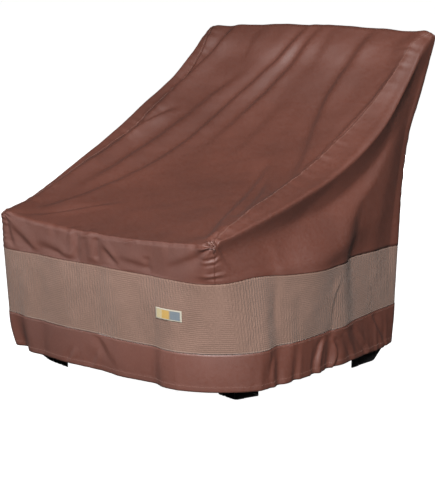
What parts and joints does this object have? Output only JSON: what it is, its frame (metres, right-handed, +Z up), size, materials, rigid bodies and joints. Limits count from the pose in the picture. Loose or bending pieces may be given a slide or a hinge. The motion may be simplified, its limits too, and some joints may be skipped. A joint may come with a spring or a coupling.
{
  "type": "patio chair cover",
  "caption": "Fitted hollow cover with a low front, a slope up to a high back, a level mesh band, a hem and buckled webbing straps at its lower corners.",
  "frame": {"origin": "underside of the cover's top edge at its middle, where the cover hangs on what it covers", "axes": "+X to the right seen from the front, +Y from the front to the rear, +Z up"},
  "size_m": [0.7743, 0.8871, 0.8572],
  "materials": {
    "brown_cloth": "tightly woven coated polyester, faint sheen",
    "tan_mesh": "ribbed mesh, matt",
    "label_cloth": "woven label in plain blocks of colour",
    "black_webbing": "flat woven webbing, matt",
    "black_plastic": "moulded plastic, slightly shiny"
  },
  "bodies": {
    "root": {"centre_panel": "brown_cloth", "side_panel_left": "brown_cloth", "side_panel_right": "brown_cloth", "mesh_band": "tan_mesh", "hem_band": "brown_cloth", "label": "label_cloth", "strap_front_left": "black_webbing", "buckle_socket_front_left": "black_plastic", "buckle_clip_front_left": "black_plastic", "strap_front_right": "black_webbing", "buckle_socket_front_right": "black_plastic", "buckle_clip_front_right": "black_plastic", "strap_rear_left": "black_webbing", "buckle_socket_rear_left": "black_plastic", "buckle_clip_rear_left": "black_plastic", "strap_rear_right": "black_webbing", "buckle_socket_rear_right": "black_plastic", "buckle_clip_rear_right": "black_plastic"}
  },
  "joints": []
}
